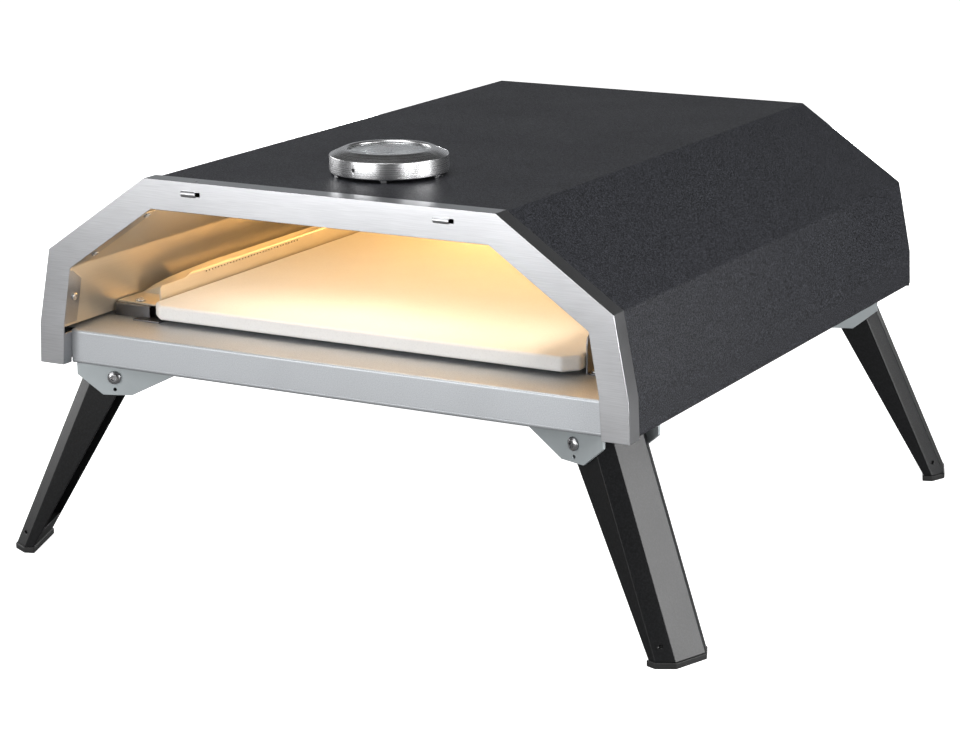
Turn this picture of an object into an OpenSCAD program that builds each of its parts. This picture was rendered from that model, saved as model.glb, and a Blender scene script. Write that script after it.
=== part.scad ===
// Portable gas pizza oven on four folding legs.
// Z is up, the mouth faces -Y, and the origin is on the ground under the middle of the whole oven.

/* [Body] */
// Width across the body's lower edges
body_w = 430; // [424:1:440]
// Depth from the face of the front frame to the rear edge of the hood
body_d = 474; // [470:1:490]
// Height of the hood above the body's lower edge
body_h = 130; // [129:0.5:134]
// Height of the body's lower edge above the ground
stand_h = 134.5; // [125:0.5:145]

/* [Body outline] */
// Half width of the flat top
top_half = 126.5; // [120:0.5:132]
// Height of the shoulder bend
shoulder_z = 77; // [74:0.5:80]
// How far the shoulder bend stands in from the lower edge
shoulder_in = 11; // [8:0.5:13]
// Height of the soft bend low on the side
side_bend_z = 26; // [22:1:30]

/* [Front frame] */
// Depth of the frame's outer flange
frame_depth = 13.7; // [12:0.1:15]
// Width of the frame's side strips at their lower ends
strip_w = 18.7; // [17:0.1:20]
// Top of the mouth
mouth_top_z = 110.5; // [108:0.5:111]
// Half width of the top of the mouth
mouth_top_half = 121.7; // [118:0.1:124]
// Height of the mouth's shoulder
mouth_shoulder_z = 65.5; // [63:0.5:68]

/* [Chamber] */
// Top of the floor tray
tray_z = 22.2; // [20:0.1:23]
// Face of the apron behind the face of the frame
apron_y = 9; // [7:0.5:11]
// Front face of the chamber's rear wall
rear_wall_y = 398; // [390:1:402]

/* [Stone] */
// Width of the stone
stone_w = 316; // [300:1:318]
// Depth of the stone
stone_d = 330; // [310:1:340]
// Thickness of the stone
stone_t = 10; // [8:0.5:12]

/* [Legs] */
// Angle that each leg is turned outward in plan
splay = 20; // [18:0.5:22]
// Lean of the leg's outer web from upright
lean = 23.6; // [22:0.1:25]
// Lean of the leg's inner edge, which makes the taper
inner_lean = 30; // [29:0.5:31]
// Width of the leg across its two side faces
leg_w = 43; // [40:0.5:46]
// Angle through which each leg folds
fold_angle = 113; // [100:1:114]

/* [Thermometer] */
// Outer radius of the bezel
bezel_r = 38.2; // [36:0.1:40]
// Distance of the thermometer behind the front face
thermometer_y = 91; // [85:0.5:100]

/* [Hidden] */

// Round parts
$fn = 96;
small_fn = 32;
bend_steps = 5;
eps = 0.01;

// Sheet thicknesses and clearances
sheet = 1.2;
thin_sheet = 1;
plate = 2;
leg_t = 1.5;
touch_gap = 0.1;

// Body outline, from the lower right corner up and over to the lower left one
body_half = body_w / 2;
outer = both_sides([
    [body_half, 0],
    [body_half - 1, side_bend_z],
    [body_half - shoulder_in, shoulder_z],
    [top_half, body_h]
]);
mouth = both_sides([
    [body_half - strip_w, 0],
    [body_half - strip_w - 1.6, side_bend_z],
    [body_half - strip_w - 8.7, mouth_shoulder_z],
    [mouth_top_half, mouth_top_z]
]);
hood_in = sheet + touch_gap;
hood_face = inset(outer, hood_in);
hood_bend_r = 5;
hood_lip_x = body_half - 11;
panel_edge = 2.5;
liner_low_z = tray_z + 2.8;
blanket_t = 12;
tab_depth = 14;

// Base
base_z = -0.5;
apron_half = body_half - strip_w - 0.3;
tray_half = body_half - 10;
apron_return = 11;
hem_h = 2.5;
hem_groove = 0.3;

// Stone, which stands to the right of the burner
stone_x = -2.8;
stone_y = 46;
stone_z = 25;
stone_cut = 9;
rail_h = stone_z - tray_z - touch_gap;
rail_half = 7;
rail_xs = [-112, 106];

// Burner side of the chamber
guard_x = -162.6;
guard_front_y = 64;
guard_low_z = tray_z + 1.3;
guard_crease_z = 46.3;
guard_front_z = 43.2;
guard_slope_y = [92, 106];
guard_lip = [-9, -0.2];
lip_front_y = 148;
guard_tab_x = -193.6;
guard_tab_y = 58;
guard_screw = [-179, 64];
guard_hole_y = 118;
guard_hole_r = 0.7;
guard_hole_pitch = 3.7;
guard_holes = 32;
bracket_top_z = 31;
bracket_y = 56;
// Rows across the ramp: y, the left end's x and z, and the height at the guard
ramp_rows = [
    [84.5, -192.5, bracket_top_z, bracket_top_z],
    [90, -186, 36.2, guard_front_z - 1.5],
    [101.5, -180.6, 40, guard_crease_z - 2.4],
    [113, -177, 42.2, guard_crease_z - 1.4],
    [134, -173.8, 44.2, guard_crease_z - 1.2],
    [149, -171.9, 45.2, guard_crease_z - 1.1]
];
burner_x = -185;
burner_z = 30.8;
burner_r = 8;
burner_front_y = 124;
venturi_end_y = rear_wall_y + 32;
jet_end_y = venturi_end_y + 10;
valve_end_y = jet_end_y + 16;
valve_half = 12;
inlet_x = burner_x + 44;
inlet_r = 6.58;
inlet_len = 22;
inlet_y = body_d + 18;

// Valve stem and knob
stem_r = 3;
running_gap = 0.05;
push_travel = 3;
stem_front_y = jet_end_y + 8;
collar_r = 5.5;
collar_len = 8;
knob_plate_t = 1;
rear_face_y = body_d + sheet;
knob_y = rear_face_y + knob_plate_t + push_travel + 1;
knob_r = 18;
knob_len = 19;
collar_y = knob_y - collar_len - touch_gap;
knob_bore_len = 12;

// Thermometer
stand_off = 0.6;
bezel_z = body_h + stand_off;
bezel_top_z = body_h + 15.5;
bezel_bevel_h = 3.9;
bezel_lip_r = 29.5;
glass_r = 26.5;
dial_z = bezel_top_z - 8.5;
glass_z = bezel_top_z - 3;
probe_r = 3;
probe_low_z = 96;
needle_hub_r = 2.2;

// Leg bracket, in the leg's own plan directions: x outward, y across the leg
bracket_w0 = 75;
bracket_w1 = bracket_w0 + leg_w + 1 + 2 * plate;
leg_w0 = bracket_w0 + plate + 0.5;
pivot_o = 152.75;
pivot_z = base_z - 9;
bracket_side = [
    [178, base_z], [178, -8], [161, -21.5], [141.5, -21.5], [98, base_z]
];
bolt_r = 2.5;
bolt_head_r = 4.4;
bolt_head_h = 2.6;
socket_r = 1.75;
detent_r = 1.2;
detent_drop = 8.3;
bracket_screw_os = [120, 163];

// Leg section
knuckle_r = 6.6;
web_gap = 21.8;
chamfer_w = 9;
chamfer_d = 7.6;
foot_h = 4;
foot_plug_h = 12;
foot_lip = 0.8;
leg_bottom = -(stand_h - foot_h) - pivot_z;
web_at_bottom = web_gap / cos(lean) - leg_bottom * tan(lean);
inner_at_bottom = -knuckle_r / cos(inner_lean) - leg_bottom * tan(inner_lean);
chamfer_o = chamfer_d / cos(lean);
foot_outline = [
    [inner_at_bottom - foot_lip, leg_w0 - foot_lip],
    [web_at_bottom - chamfer_o + foot_lip / 2, leg_w0 - foot_lip],
    [web_at_bottom + foot_lip, leg_w0 + chamfer_w - foot_lip / 2],
    [web_at_bottom + foot_lip, leg_w0 + leg_w - chamfer_w + foot_lip / 2],
    [web_at_bottom - chamfer_o + foot_lip / 2, leg_w0 + leg_w + foot_lip],
    [inner_at_bottom - foot_lip, leg_w0 + leg_w + foot_lip]
];

// The whole oven reaches from the front feet to the end of the knob
front_reach = min([for (p = foot_outline) p.y * cos(splay) - (p.x + pivot_o) * sin(splay)]);
rear_reach = knob_y + knob_len;
front_y = -(front_reach + rear_reach) / 2;

// ---- Outlines of bent sheet ----

function both_sides(p) = concat(p, [for (i = [len(p) - 1:-1:0]) [-p[i].x, p[i].y]]);
function unit(v) = v / norm(v);
function left_of(a, b) = [a.y - b.y, b.x - a.x] / norm(b - a);
function turned(v, a) = [v.x * cos(a) - v.y * sin(a), v.x * sin(a) + v.y * cos(a)];
function cross_2d(u, v) = u.x * v.y - u.y * v.x;
function reversed(p) = [for (i = [len(p) - 1:-1:0]) p[i]];

// A path moved by d towards its left, with mitred corners and level ends
function inset(p, d) = [
    for (i = [0:len(p) - 1])
        i == 0 ? p[0] + [d / left_of(p[0], p[1]).x, 0]
        : i == len(p) - 1 ? p[i] + [d / left_of(p[i - 1], p[i]).x, 0]
        : let (a = left_of(p[i - 1], p[i]), b = left_of(p[i], p[i + 1]))
            p[i] + d * (a + b) / (1 + a * b)
];

// The bend at b, with radius r on the path itself, seen at distance d to its left
function bend(a, b, c, r, d) =
    let (u = unit(a - b), v = unit(c - b), half = acos(u * v) / 2,
         side = cross_2d(b - a, c - b) > 0 ? 1 : -1,
         hub = b + unit(u + v) * r / sin(half))
    [for (i = [0:bend_steps])
        hub + (d - side * r) * turned(left_of(a, b), side * (180 - 2 * half) * i / bend_steps)];

function bent_path(p, r, d) = concat(
    [p[0] + d * left_of(p[0], p[1])],
    [for (i = [1:len(p) - 2]) each bend(p[i - 1], p[i], p[i + 1], r, d)],
    [p[len(p) - 1] + d * left_of(p[len(p) - 2], p[len(p) - 1])]
);

// Section of a sheet whose face follows p, with the metal t to its left (or right if t < 0)
module bent_sheet(p, r, t) {
    polygon(concat(bent_path(p, r, 0), reversed(bent_path(p, r, t))));
}

// ---- Placing ----

module in_body() {
    translate([0, front_y, stand_h]) children();
}

// A section in x and z, run along y
module along_y(from, length) {
    translate([0, from + length, 0]) rotate([90, 0, 0]) linear_extrude(length) children();
}

// A section in y and z, run along x
module along_x(from, length) {
    translate([from, 0, 0]) rotate([90, 0, 90]) linear_extrude(length) children();
}

// A round bar along y
module bar_y(x, z, r, from, to, fn = $fn) {
    translate([x, from, z]) rotate([-90, 0, 0]) cylinder(r = r, h = to - from, $fn = fn);
}

// The plan directions of one leg: x outward, y across, z up
module at_leg(side, rear) {
    in_body()
        mirror([side < 0 ? 1 : 0, 0, 0])
            translate([0, rear ? body_d : 0, 0])
                mirror([0, rear ? 1 : 0, 0])
                    rotate([0, 0, -splay])
                        children();
}

// A button-head screw whose head stands on z = 0 and whose shank goes down
module screw(head_r, head_h, shank_r, shank_len, cross = true) {
    difference() {
        intersection() {
            cylinder(r = head_r, h = head_h, $fn = small_fn);
            translate([0, 0, head_h - 1.8 * head_r]) sphere(r = 1.8 * head_r, $fn = small_fn);
        }
        translate([0, 0, head_h * 0.4])
            if (cross)
                for (a = [0, 90])
                    rotate([0, 0, a])
                        translate([-head_r * 0.6, -head_r * 0.14, 0])
                            cube([head_r * 1.2, head_r * 0.28, head_h]);
            else
                cylinder(r = head_r * 0.5, h = head_h, $fn = 6);
    }
    translate([0, 0, -shank_len]) cylinder(r = shank_r, h = shank_len + eps, $fn = small_fn);
}

// ---- Body ----

hook_x = 91;
hook_z = 122.5;
hook_len = 11;
hook_r = 2.2;
slot_len = 14;
slot_h = 2.5;

module hook_slots() {
    for (s = [-1, 1])
        translate([s * hook_x - slot_len / 2, -eps, hook_z - slot_h / 2])
            cube([slot_len, sheet + 2 * eps, slot_h]);
}

// Half-round loops pressed out of the frame, which take the hooks of a door
module hooks() {
    for (s = [-1, 1])
        translate([s * hook_x - slot_len / 2, sheet, hook_z])
            rotate([0, 90, 0])
                difference() {
                    cylinder(r = hook_r, h = hook_len, $fn = small_fn);
                    translate([0, 0, -1]) cylinder(r = hook_r - 0.8, h = hook_len + 2, $fn = small_fn);
                    translate([-10, 0, -1]) cube([20, 20, hook_len + 2]);
                }
}

// Ring of metal just outside the mouth, from which the return tabs are cut
module mouth_ring() {
    difference() {
        polygon(inset(mouth, -sheet));
        polygon(mouth);
    }
}

module side_tabs() {
    tab_low = tray_z + 5;
    tab_high = mouth_shoulder_z - 1.5;
    intersection() {
        along_y(sheet, tab_depth - sheet) mouth_ring();
        along_x(-body_half, body_w)
            polygon([
                [0, tab_low], [tab_depth + 1, tab_low], [tab_depth + 1, tab_high - 8],
                [3, tab_high], [0, tab_high]
            ]);
    }
}

module sloping_tabs() {
    along_y(sheet, tab_depth - sheet)
        intersection() {
            mouth_ring();
            for (s = [-1, 1])
                translate([s * (mouth_top_half + 34) - 28, mouth_shoulder_z + 3])
                    square([56, mouth_top_z - mouth_shoulder_z - 6]);
        }
}

module top_tabs() {
    along_y(sheet, tab_depth - sheet)
        intersection() {
            mouth_ring();
            for (x = [-85, 0, 85]) translate([x - 22, mouth_top_z - 1]) square([44, 5]);
        }
}

module strip_returns() {
    along_y(sheet, apron_y - sheet - touch_gap)
        intersection() {
            mouth_ring();
            translate([-body_half, 0]) square([body_w, tray_z - 1]);
        }
}

module front_frame() {
    color("silver") in_body() {
        difference() {
            along_y(0, sheet)
                difference() {
                    polygon(outer);
                    polygon(mouth);
                }
            hook_slots();
        }
        along_y(sheet, frame_depth - sheet)
            difference() {
                polygon(outer);
                polygon(inset(outer, sheet));
            }
        difference() {
            union() {
                side_tabs();
                sloping_tabs();
            }
            liner_screw_holes();
        }
        top_tabs();
        strip_returns();
        hooks();
    }
}

module probe_hole(r) {
    translate([0, thermometer_y, 90]) cylinder(r = r, h = 60, $fn = small_fn);
}

module hood_shell() {
    sides = [for (i = [0:len(hood_face) - 1]) hood_face[i]];
    section = concat([[hood_lip_x, 0]], sides, [[-hood_lip_x, 0]]);
    color("dimgray") in_body()
        difference() {
            union() {
                along_y(sheet + touch_gap, body_d - sheet - touch_gap)
                    bent_sheet(section, hood_bend_r * 0.6, thin_sheet);
                along_y(body_d - thin_sheet, thin_sheet)
                    difference() {
                        polygon(inset(outer, hood_in + 0.5));
                        polygon(inset(outer, 13));
                        panel_holes();
                    }
            }
            probe_hole(probe_r + 1);
        }
}

module inner_liner() {
    color("burlywood") in_body()
        difference() {
            along_y(sheet + touch_gap, rear_wall_y - sheet - 2 * touch_gap)
                bent_sheet(inset(mouth, -sheet), 3, -thin_sheet);
            translate([-body_half, -1, -1]) cube([body_w, body_d, liner_low_z + 1]);
            probe_hole(probe_r + 1);
            liner_screw_holes();
        }
}

module insulation_blanket() {
    color("white") in_body()
        difference() {
            along_y(tab_depth + 1, rear_wall_y - tab_depth - 1 - touch_gap)
                bent_sheet(inset(mouth, -sheet - thin_sheet - 0.4), 4, -blanket_t);
            translate([-body_half, -1, -1]) cube([body_w, body_d, liner_low_z + 1]);
            probe_hole(probe_r + 6);
        }
}

vent_slot = [26, 3];
vent_xs = [-100, -60, -20, 20, 60, 100];
panel_screw_at = [
    [-197, 66], [197, 66], [-153, 102], [153, 102], [-60, 122], [60, 122], [-206, 14], [206, 14]
];

module panel_holes() {
    for (p = panel_screw_at) translate(p) circle(r = 1.6, $fn = small_fn);
}

module rear_outer_panel() {
    color("dimgray") in_body()
        difference() {
            along_y(body_d, sheet)
                difference() {
                    polygon(inset(outer, panel_edge));
                    for (x = vent_xs, z = [96, 104])
                        translate([x - vent_slot.x / 2, z]) square(vent_slot);
                    for (z = [60, 68]) translate([burner_x + 1, z]) square([vent_slot.x, 2.4]);
                    panel_holes();
                }
            bar_y(burner_x, burner_z, 6, body_d - 1, rear_face_y + 1, small_fn);
            bar_y(inlet_x, burner_z, inlet_r + 0.4, body_d - 1, rear_face_y + 1);
        }
}

module rear_inner_panel() {
    color("tan") in_body()
        difference() {
            along_y(rear_wall_y, thin_sheet)
                intersection() {
                    polygon(inset(outer, hood_in + thin_sheet + 0.4));
                    translate([-body_half, 1.4]) square([body_w, body_h]);
                }
            bar_y(burner_x, burner_z, burner_r + 0.1, rear_wall_y - 1, rear_wall_y + 2);
            bar_y(electrode_x, electrode_z, insulator_r + 0.1, rear_wall_y - 1, rear_wall_y + 2);
        }
}

module base_tray() {
    floor_end = rear_wall_y - touch_gap;
    side_y = tab_depth + 1;
    color("silver") in_body() {
        difference() {
            along_x(-apron_half, 2 * apron_half)
                bent_sheet(
                    [[apron_y + apron_return, base_z], [apron_y, base_z],
                     [apron_y, tray_z], [floor_end, tray_z]],
                    1.8, -thin_sheet
                );
            translate([-apron_half - 1, apron_y - 1, base_z + hem_h])
                cube([2 * apron_half + 2, 1 + hem_groove / 2, hem_groove]);
            translate([clip_hole.x, clip_hole.y, tray_z - 3]) cylinder(r = 1.7, h = 6, $fn = small_fn);
        }
        for (s = [-1, 1])
            mirror([s < 0 ? 1 : 0, 0, 0])
                along_y(side_y, floor_end - side_y)
                    polygon([
                        [apron_half - eps, tray_z], [tray_half, tray_z], [tray_half, 1.1],
                        [tray_half - thin_sheet, 1.1], [tray_half - thin_sheet, tray_z - thin_sheet],
                        [apron_half - eps, tray_z - thin_sheet]
                    ]);
    }
}

module base_pan() {
    pan_half = hood_lip_x - 0.5;
    pan_y = apron_y + apron_return + 0.5;
    color("dimgray")
        difference() {
            in_body()
                along_x(-pan_half, 2 * pan_half)
                    bent_sheet(
                        [[pan_y, base_z], [body_d - thin_sheet - touch_gap, base_z],
                         [body_d - thin_sheet - touch_gap, 13]],
                        2, sheet
                    );
            at_bracket_screws() translate([0, 0, -5]) cylinder(r = 2.1, h = 10, $fn = small_fn);
        }
}

module floor_insulation() {
    board_t = 14;
    color("white") in_body()
        translate([-apron_half, tab_depth + 2, tray_z - thin_sheet - board_t - 0.5])
            cube([2 * apron_half, rear_wall_y - tab_depth - 3, board_t]);
}

module stone_rails() {
    color("silver") in_body()
        for (x = rail_xs)
            translate([x, 0, tray_z])
                along_y(stone_y + 25, stone_d - 50)
                    bent_sheet(
                        [[rail_half, 0], [rail_half, rail_h], [-rail_half, rail_h], [-rail_half, 0]],
                        1.5, thin_sheet
                    );
}

// ---- Burner side ----

module flame_guard() {
    lip_edge = [guard_x, guard_crease_z] + guard_lip;
    color("burlywood") in_body() {
        difference() {
            along_y(guard_front_y, rear_wall_y - guard_front_y - 1)
                bent_sheet([[guard_x, guard_low_z], [guard_x, guard_crease_z], lip_edge], 1.6, thin_sheet);
            // In front of the lip the sheet ends in a plain edge that slopes down to the front
            translate([guard_x - 20, guard_front_y - 1, guard_crease_z - 1.2])
                cube([19, lip_front_y - guard_front_y + 1, 10]);
            along_x(guard_x - 2, 4)
                polygon([
                    [guard_front_y - 1, guard_front_z - 2], [guard_front_y + 2, guard_front_z],
                    [guard_slope_y[0], guard_front_z + 0.4], [guard_slope_y[1], guard_crease_z + 1],
                    [guard_front_y - 1, guard_crease_z + 1]
                ]);
            for (i = [0:guard_holes - 1])
                translate([guard_x - 3, guard_hole_y + i * guard_hole_pitch, guard_crease_z - 3.2])
                    rotate([0, 90, 0])
                        cylinder(r = guard_hole_r, h = 6, $fn = 16);
        }
        difference() {
            translate([guard_tab_x, guard_tab_y, bracket_top_z])
                cube([guard_x - 0.5 - guard_tab_x, ramp_rows[0][0] - guard_tab_y + 1, thin_sheet]);
            translate([guard_screw.x, guard_screw.y, bracket_top_z - 1])
                cylinder(r = 1.7, h = 4, $fn = small_fn);
        }
        for (i = [0:len(ramp_rows) - 2])
            hull() {
                ramp_bar(ramp_rows[i]);
                ramp_bar(ramp_rows[i + 1]);
            }
    }
}

// One row of the ramp that leads from the bracket up to the lip
module ramp_bar(row) {
    rise = row[3] - row[2];
    run = guard_x - 0.5 - row[1];
    translate([row[1], row[0], row[2]])
        along_y(0, thin_sheet)
            polygon([[0, 0], [run, rise], [run, rise + thin_sheet], [0, thin_sheet]]);
}

guard_bracket_x = [-194.4, -166.6];
guard_bracket_d = 27;
guard_foot = [13, 12];

module guard_bracket() {
    x0 = guard_bracket_x[0];
    x1 = guard_bracket_x[1];
    color("gray") in_body() {
        difference() {
            along_x(x0, x1 - x0)
                bent_sheet(
                    [[bracket_y, tray_z], [bracket_y, bracket_top_z],
                     [bracket_y + guard_bracket_d, bracket_top_z],
                     [bracket_y + guard_bracket_d, tray_z]],
                    1.3, -thin_sheet
                );
            translate([guard_screw.x, guard_screw.y, bracket_top_z - 3])
                cylinder(r = 1.7, h = 6, $fn = small_fn);
        }
        translate([x1 - 8, bracket_y - 8, tray_z]) cube([8 + guard_foot.x, guard_foot.y, thin_sheet]);
    }
}

clip_x = 156.2;
clip_front_y = 60;
clip_len = 20;
clip_top_z = 46.8;
clip_foot_r = 5;
clip_hole = [clip_x + clip_foot_r + 0.3, clip_front_y + 3.5];

// Blade that keeps the stone's right edge in place, on a foot screwed to the floor
module stone_clip() {
    color("gray") in_body() {
        difference() {
            translate([0, 0, tray_z])
                linear_extrude(thin_sheet)
                    union() {
                        translate([clip_x, clip_hole.y]) square([2 * clip_foot_r + 0.3, clip_len - 3.5]);
                        translate([clip_hole.x, clip_hole.y]) circle(r = clip_foot_r, $fn = small_fn);
                    }
            translate([clip_hole.x, clip_hole.y, tray_z - 1]) cylinder(r = 1.7, h = 4, $fn = small_fn);
        }
        along_x(clip_x, thin_sheet)
            polygon([
                [clip_front_y, tray_z], [clip_front_y, clip_top_z - 7.5],
                [clip_front_y + 0.4, clip_top_z - 4], [clip_front_y + 1.6, clip_top_z - 1.4],
                [clip_front_y + 4, clip_top_z], [clip_front_y + clip_len, clip_top_z],
                [clip_front_y + clip_len, tray_z]
            ]);
    }
}

port_r = 1;
port_pitch = 12;
ports = 19;

module burner_tube() {
    color("silver") in_body() {
        difference() {
            bar_y(burner_x, burner_z, burner_r, burner_front_y, rear_wall_y + 6);
            bar_y(burner_x, burner_z, burner_r - 1, burner_front_y + 1.5, rear_wall_y + 7);
            for (i = [0:ports - 1])
                translate([burner_x, burner_front_y + 16 + i * port_pitch, burner_z])
                    cylinder(r = port_r, h = 20, $fn = 16);
        }
    }
}

// Plate that holds up the front end of the burner
module burner_saddle() {
    saddle_y = burner_front_y + 6;
    half = burner_r + 1.4;
    color("gray") in_body()
        difference() {
            union() {
                translate([burner_x - half, saddle_y, tray_z]) cube([2 * half, 1.5, burner_z - tray_z]);
                translate([burner_x - half, saddle_y, tray_z]) cube([2 * half, 12, 1.5]);
            }
            bar_y(burner_x, burner_z, burner_r + 0.05, saddle_y - 1, saddle_y + 14);
        }
}

module burner_venturi() {
    bell_r = 14;
    color("darkgray") in_body()
        difference() {
            union() {
                bar_y(burner_x, burner_z, bell_r, rear_wall_y + 10, venturi_end_y);
                bar_y(burner_x, burner_z, burner_r + 2, rear_wall_y + 1.1, rear_wall_y + 10 + eps);
            }
            bar_y(burner_x, burner_z, burner_r + 0.1, rear_wall_y, rear_wall_y + 12);
            bar_y(burner_x, burner_z, bell_r - 1.5, rear_wall_y + 11.5, venturi_end_y - 1.5);
            bar_y(burner_x, burner_z, 4.1, venturi_end_y - 2, venturi_end_y + 1);
            // Air windows
            for (a = [0, 90])
                translate([burner_x, rear_wall_y + 21, burner_z])
                    rotate([0, a, 0])
                        cube([2 * bell_r + 2, 12, 12], center = true);
        }
}

module gas_jet() {
    color("goldenrod") in_body()
        difference() {
            union() {
                bar_y(burner_x, burner_z, 4, venturi_end_y - 8, jet_end_y, small_fn);
                translate([burner_x, venturi_end_y, burner_z])
                    rotate([-90, 30, 0])
                        cylinder(r = 7, h = 5, $fn = 6);
            }
            bar_y(burner_x, burner_z, 0.5, venturi_end_y - 9, jet_end_y + 1, 16);
        }
}

module gas_valve() {
    color("silver") in_body()
        difference() {
            union() {
                translate([burner_x - valve_half, jet_end_y, burner_z - valve_half])
                    cube([2 * valve_half, valve_end_y - jet_end_y, 2 * valve_half]);
                translate([burner_x, jet_end_y + 2, burner_z - 7])
                    cube([inlet_x - burner_x + 8, 14, 14]);
            }
            bar_y(burner_x, burner_z, stem_r + running_gap, stem_front_y - push_travel - 1, valve_end_y + 1);
        }
}

module valve_bracket() {
    low = 14.5;
    x0 = burner_x - 15;
    x1 = burner_x + 52;
    color("gray") in_body() {
        difference() {
            translate([x0, valve_end_y, low]) cube([x1 - x0, thin_sheet, 40]);
            bar_y(burner_x, burner_z, stem_r + 2, valve_end_y - 1, valve_end_y + 3, small_fn);
            bar_y(inlet_x, burner_z, inlet_r + 0.2, valve_end_y - 1, valve_end_y + 3);
        }
        // Its left foot stops at the hood's rear edge and its right foot at the panel
        translate([x0, valve_end_y, low + 28])
            cube([thin_sheet, body_d - thin_sheet - touch_gap - valve_end_y, 12]);
        translate([x1 - thin_sheet, valve_end_y, low + 28])
            cube([thin_sheet, body_d - valve_end_y, 12]);
    }
}

// Threaded tail that takes the hose, with a hexagon to hold it by
module gas_inlet() {
    color("goldenrod") in_body()
        difference() {
            union() {
                bar_y(inlet_x, burner_z, inlet_r, valve_end_y, inlet_y);
                translate([inlet_x, rear_face_y + 0.2, burner_z])
                    rotate([-90, 30, 0])
                        cylinder(r = 10, h = 4, $fn = 6);
            }
            bar_y(inlet_x, burner_z, 3.2, jet_end_y + 20, inlet_y + 1);
        }
}

electrode_x = -183;
electrode_z = 64;
insulator_r = 3.5;
igniter_x = -110;
igniter_r = 9;
wire_r = 1.5;

module electrode_insulator() {
    color("white") in_body()
        difference() {
            bar_y(electrode_x, electrode_z, insulator_r, rear_wall_y - 28, rear_wall_y + 14, small_fn);
            bar_y(electrode_x, electrode_z, 1.1, rear_wall_y - 29, rear_wall_y + 15, small_fn);
        }
}

module electrode_rod() {
    color("gray") in_body() {
        bar_y(electrode_x, electrode_z, 1, rear_wall_y - 44, rear_wall_y + 14, small_fn);
        translate([electrode_x, rear_wall_y - 43, burner_z + burner_r + 4])
            cylinder(r = 1, h = electrode_z - burner_z - burner_r - 4, $fn = small_fn);
    }
}

module igniter_module() {
    color("black") in_body() {
        bar_y(igniter_x, electrode_z, igniter_r, rear_wall_y + 20, body_d - 12, small_fn);
        bar_y(igniter_x, electrode_z, igniter_r + 3, body_d - 12, body_d - 9, small_fn);
        translate([igniter_x - 6, body_d - 9, electrode_z - 6]) cube([12, 9, 12]);
    }
}

// Lead from the igniter to the electrode, clipped behind the chamber's rear wall
module igniter_wire() {
    turn_r = 8;
    end_y = rear_wall_y + 14;
    color("firebrick") in_body() {
        translate([electrode_x + turn_r, end_y, electrode_z])
            intersection() {
                rotate_extrude($fn = 48) translate([turn_r, 0]) circle(r = wire_r, $fn = 24);
                translate([-20, 0, -5]) cube([20, 20, 10]);
            }
        translate([electrode_x + turn_r, end_y + turn_r, electrode_z])
            rotate([0, 90, 0])
                cylinder(r = wire_r, h = igniter_x - igniter_r - electrode_x - turn_r, $fn = 24);
    }
}

// Collar behind the knob that the stem turns in and that the spring pushes back
module push_collar() {
    color("silver") in_body()
        difference() {
            bar_y(burner_x, burner_z, collar_r, collar_y, collar_y + collar_len);
            bar_y(burner_x, burner_z, stem_r + running_gap, collar_y - 1, collar_y + collar_len + 1);
        }
}

// Coil between the valve bracket and the collar
module return_spring() {
    wire = 0.6;
    turns = 5;
    coil_r = collar_r - wire - 0.1;
    low = valve_end_y + thin_sheet + wire;
    high = collar_y - wire;
    steps = turns * 20;
    sides = 8;
    rings = [
        for (i = [0:steps])
            let (a = 360 * i / 20, y = low + (high - low) * i / steps)
            [for (j = [0:sides - 1])
                let (b = 360 * j / sides, r = coil_r + wire * cos(b))
                [r * cos(a), y + wire * sin(b), r * sin(a)]]
    ];
    points = [for (ring = rings) each ring];
    walls = [
        for (i = [0:steps - 1], j = [0:sides - 1])
            let (k = (j + 1) % sides)
            [i * sides + j, i * sides + k, (i + 1) * sides + k, (i + 1) * sides + j]
    ];
    ends = [
        [for (j = [sides - 1:-1:0]) j],
        [for (j = [0:sides - 1]) steps * sides + j]
    ];
    color("silver") in_body()
        translate([burner_x, 0, burner_z]) polyhedron(points, concat(walls, ends));
}

module valve_stem() {
    color("silver") in_body()
        bar_y(burner_x, burner_z, stem_r, stem_front_y, knob_y + knob_bore_len - 0.1);
}

module control_knob() {
    grip_w = 9;
    color("black") in_body()
        difference() {
            union() {
                bar_y(burner_x, burner_z, knob_r, knob_y, knob_y + 6);
                bar_y(burner_x, burner_z, knob_r - 3, knob_y + 6 - eps, knob_y + 10);
                intersection() {
                    bar_y(burner_x, burner_z, knob_r - 1.5, knob_y + 6, knob_y + knob_len);
                    translate([burner_x - grip_w / 2, knob_y + 6, burner_z - knob_r])
                        cube([grip_w, knob_len - 6, 2 * knob_r]);
                }
            }
            bar_y(burner_x, burner_z, stem_r + running_gap, knob_y - 1, knob_y + knob_bore_len);
            // Pointer groove
            translate([burner_x - 0.8, knob_y + knob_len - 1, burner_z + 4]) cube([1.6, 2, knob_r]);
        }
}

module knob_plate() {
    color("silver") in_body()
        difference() {
            bar_y(burner_x, burner_z, knob_r + 5, rear_face_y, rear_face_y + knob_plate_t);
            bar_y(burner_x, burner_z, 6, rear_face_y - 1, rear_face_y + 3, small_fn);
            for (a = [0:45:180])
                translate([burner_x, rear_face_y + knob_plate_t, burner_z])
                    rotate([0, -a, 0])
                        translate([knob_r + 1.2, -0.4, -0.5])
                            cube([2.6, 1, 1]);
        }
}

// ---- Thermometer ----

module at_thermometer() {
    in_body() translate([0, thermometer_y, 0]) children();
}

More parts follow.
